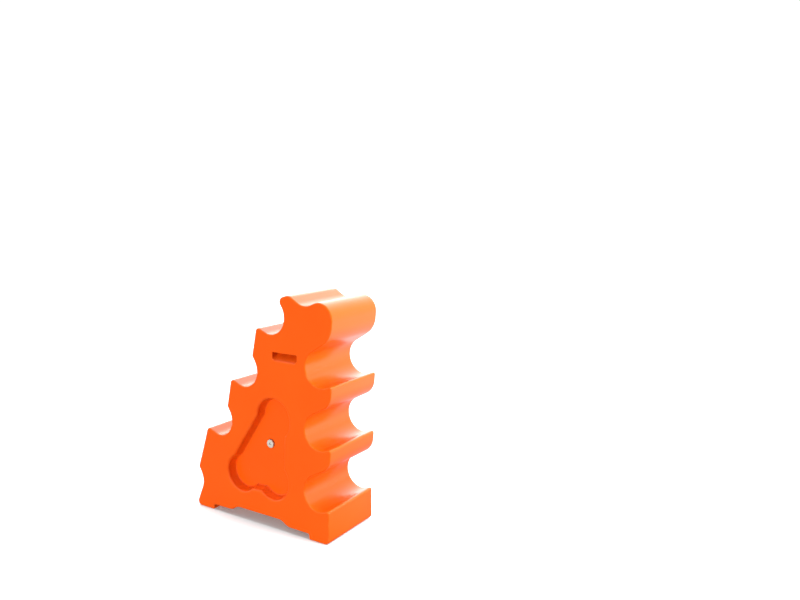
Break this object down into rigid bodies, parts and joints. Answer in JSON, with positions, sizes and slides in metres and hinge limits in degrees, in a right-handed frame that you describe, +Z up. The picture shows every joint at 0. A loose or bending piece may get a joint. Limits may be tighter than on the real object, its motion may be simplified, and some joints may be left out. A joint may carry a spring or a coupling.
{
  "type": "pole stacking block",
  "caption": "Stepped hollow plastic block with rounded cups up both sides and on top that cradle round poles, with recessed faces, finger slots and a screw-in filler plug.",
  "frame": {"origin": "middle of the block's footprint, on the ground plane that the two feet stand on", "axes": "+Z up, the longest way; Y from the front face (-Y, with the plug) to the back face, the shortest way and along the poles; +X to the side with the three stacked cups and the upright base"},
  "size_m": [0.5238, 0.208, 0.6753],
  "materials": {
    "orange_shell": "satin moulded polyethylene with a faint orange-peel skin",
    "brass_bush": "machined",
    "black_seal": "matt moulded rubber",
    "white_plug": "satin moulded nylon"
  },
  "bodies": {
    "block": {"block_shell": "orange_shell", "plug_bush": "brass_bush"},
    "seal": {"plug_seal": "black_seal"},
    "plug": {"filler_plug": "white_plug"}
  },
  "joints": [
    {"name": "plug_travel", "type": "slide", "parent": "block", "child": "seal", "axis": [0, -1, 0], "range_m": [0, 0.05]},
    {"name": "plug_turn", "type": "hinge", "parent": "seal", "child": "plug", "pos_m": [0.0154, -0.0725, 0.238], "axis": [0, -1, 0], "range_deg": [0, 7200]}
  ],
  "couplings": [
    {"joint": "plug_travel", "follows": "plug_turn", "m_per_rad": 0.00039788}
  ]
}
